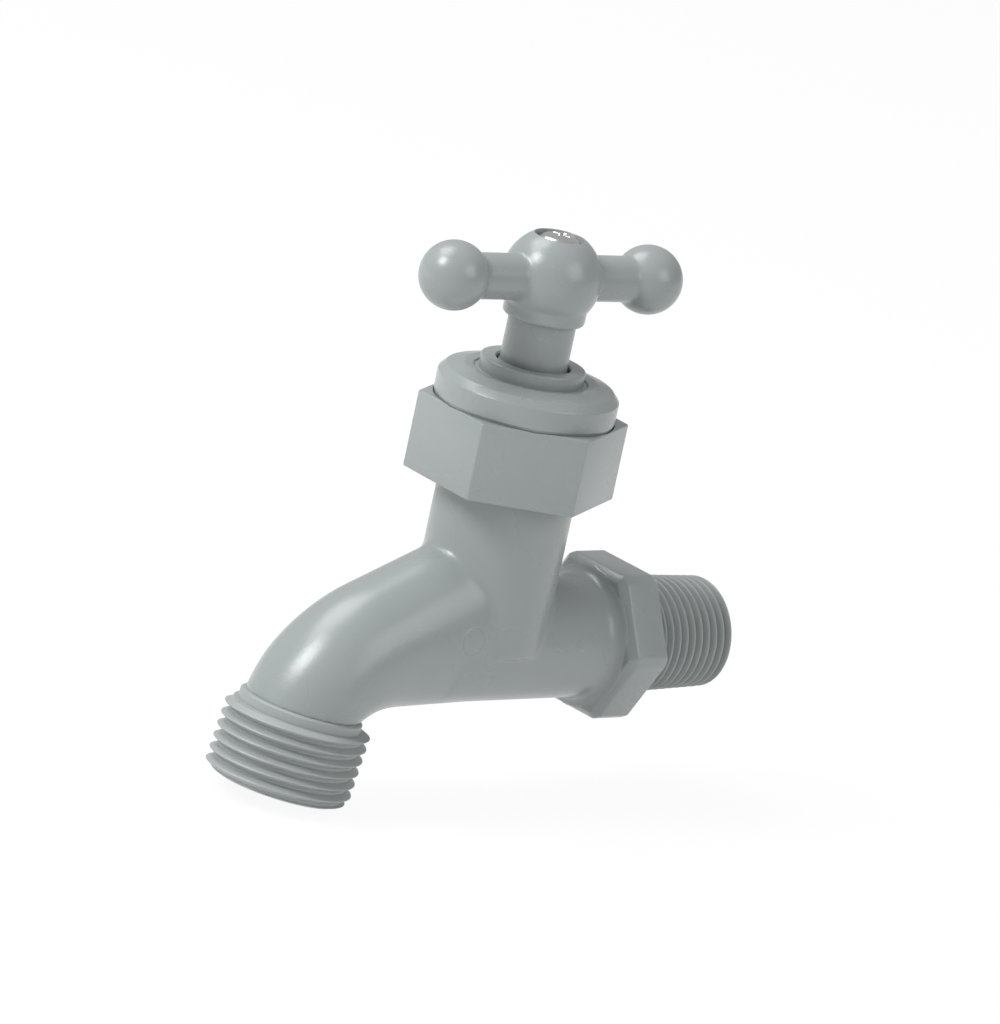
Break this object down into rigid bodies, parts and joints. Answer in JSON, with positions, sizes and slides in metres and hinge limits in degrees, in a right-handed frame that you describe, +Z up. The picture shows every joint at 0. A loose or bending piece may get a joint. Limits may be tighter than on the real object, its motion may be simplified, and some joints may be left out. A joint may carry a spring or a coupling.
{
  "type": "hose bibb",
  "caption": "Outdoor tap in moulded plastic: threaded inlet with hexagon, curved spout with hose thread, screwed-on bonnet and tee handle on a rising stem.",
  "frame": {"origin": "centre of the rear face of the inlet hexagon, on the inlet axis", "axes": "+Y along the inlet pipe thread, into the pipe that holds the tap; +Z up along the stem; the spout runs towards -Y; X = 0 is the spout's mirror plane"},
  "size_m": [0.0386, 0.1072, 0.1052],
  "materials": {
    "grey_plastic": "satin moulded plastic",
    "black_rubber": "smooth black rubber",
    "white_plastic": "smooth off-white plastic",
    "brass": "turned brass",
    "bright_steel": "bright plated steel"
  },
  "bodies": {
    "tap_body": {"valve_body": "grey_plastic", "bonnet": "grey_plastic", "bonnet_gasket": "black_rubber"},
    "washer_carrier": {"washer_holder": "white_plastic", "seat_washer": "black_rubber", "washer_screw": "brass"},
    "turning_stem": {"stem": "grey_plastic", "stem_oring_lower": "black_rubber", "stem_oring_upper": "black_rubber", "handle": "grey_plastic", "lock_washer": "bright_steel", "handle_screw": "bright_steel"}
  },
  "joints": [
    {"name": "stem_rise", "type": "slide", "parent": "tap_body", "child": "washer_carrier", "axis": [0, 0, 1], "range_m": [0, 0.005]},
    {"name": "handle_turn", "type": "hinge", "parent": "washer_carrier", "child": "turning_stem", "pos_m": [0, -0.0348, 0.0686], "axis": [0, 0, 1], "range_deg": [0, 720]}
  ],
  "couplings": [
    {"joint": "stem_rise", "follows": "handle_turn", "m_per_rad": 0.00039789}
  ]
}
